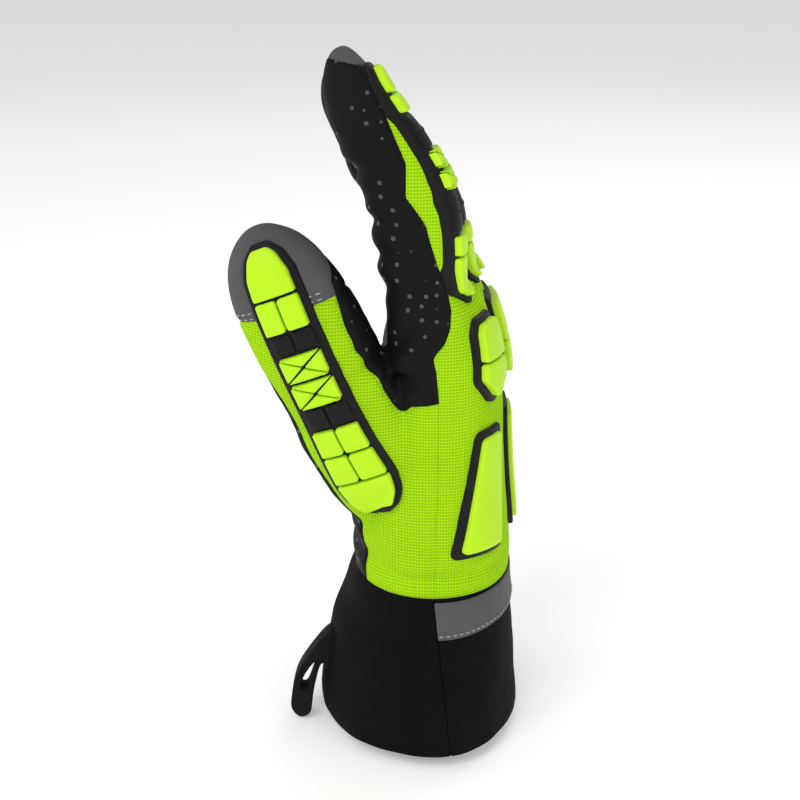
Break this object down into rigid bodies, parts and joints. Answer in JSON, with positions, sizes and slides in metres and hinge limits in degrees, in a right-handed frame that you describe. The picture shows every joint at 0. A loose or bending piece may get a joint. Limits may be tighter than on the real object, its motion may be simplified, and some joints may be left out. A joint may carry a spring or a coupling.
{
  "type": "impact glove",
  "caption": "Worn impact glove in bright knit and black leather, with raised rubber guards on the thumb, fingers and hand and a flared neoprene cuff.",
  "frame": {"origin": "centre of the cuff's mouth, where the wrist goes in", "axes": "+Z from the cuff's mouth to the fingertips, +X out of the back of the hand, -Y the thumb's side"},
  "size_m": [0.1022, 0.1071, 0.2562],
  "materials": {
    "knit": "bright yellow-green ribbed knit",
    "palm_leather": "black synthetic leather with small raised dots",
    "neoprene": "matt black neoprene",
    "green_rubber": "bright yellow-green moulded rubber",
    "black_rubber": "black moulded rubber border and spacers",
    "grey_cap": "grey coated fabric with stitching",
    "reflective": "grey reflective tape",
    "webbing": "black webbing",
    "thread": "grey stitching"
  },
  "bodies": {
    "root": {"hand_back": "knit", "hand_palm": "palm_leather", "thumb_palm": "palm_leather", "crotch_patch": "palm_leather", "thumb_panel": "knit", "thumb_cap": "grey_cap", "thumb_guard": "green_rubber", "cuff_back": "neoprene", "cuff_palm": "neoprene", "reflective_band": "reflective", "pull_loop": "webbing", "index_back": "knit", "index_cap": "grey_cap", "index_palm": "palm_leather", "index_guard": "green_rubber", "index_knuckle_guard": "green_rubber", "middle_back": "knit", "middle_cap": "grey_cap", "middle_palm": "palm_leather", "middle_guard": "green_rubber", "middle_knuckle_guard": "green_rubber", "ring_back": "knit", "ring_cap": "grey_cap", "ring_palm": "palm_leather", "ring_guard": "green_rubber", "ring_knuckle_guard": "green_rubber", "little_back": "knit", "little_cap": "grey_cap", "little_palm": "palm_leather", "little_guard": "green_rubber", "little_knuckle_guard": "green_rubber", "index_metacarpal_guard": "green_rubber", "middle_metacarpal_guard": "green_rubber", "little_metacarpal_guard": "green_rubber"}
  },
  "joints": []
}
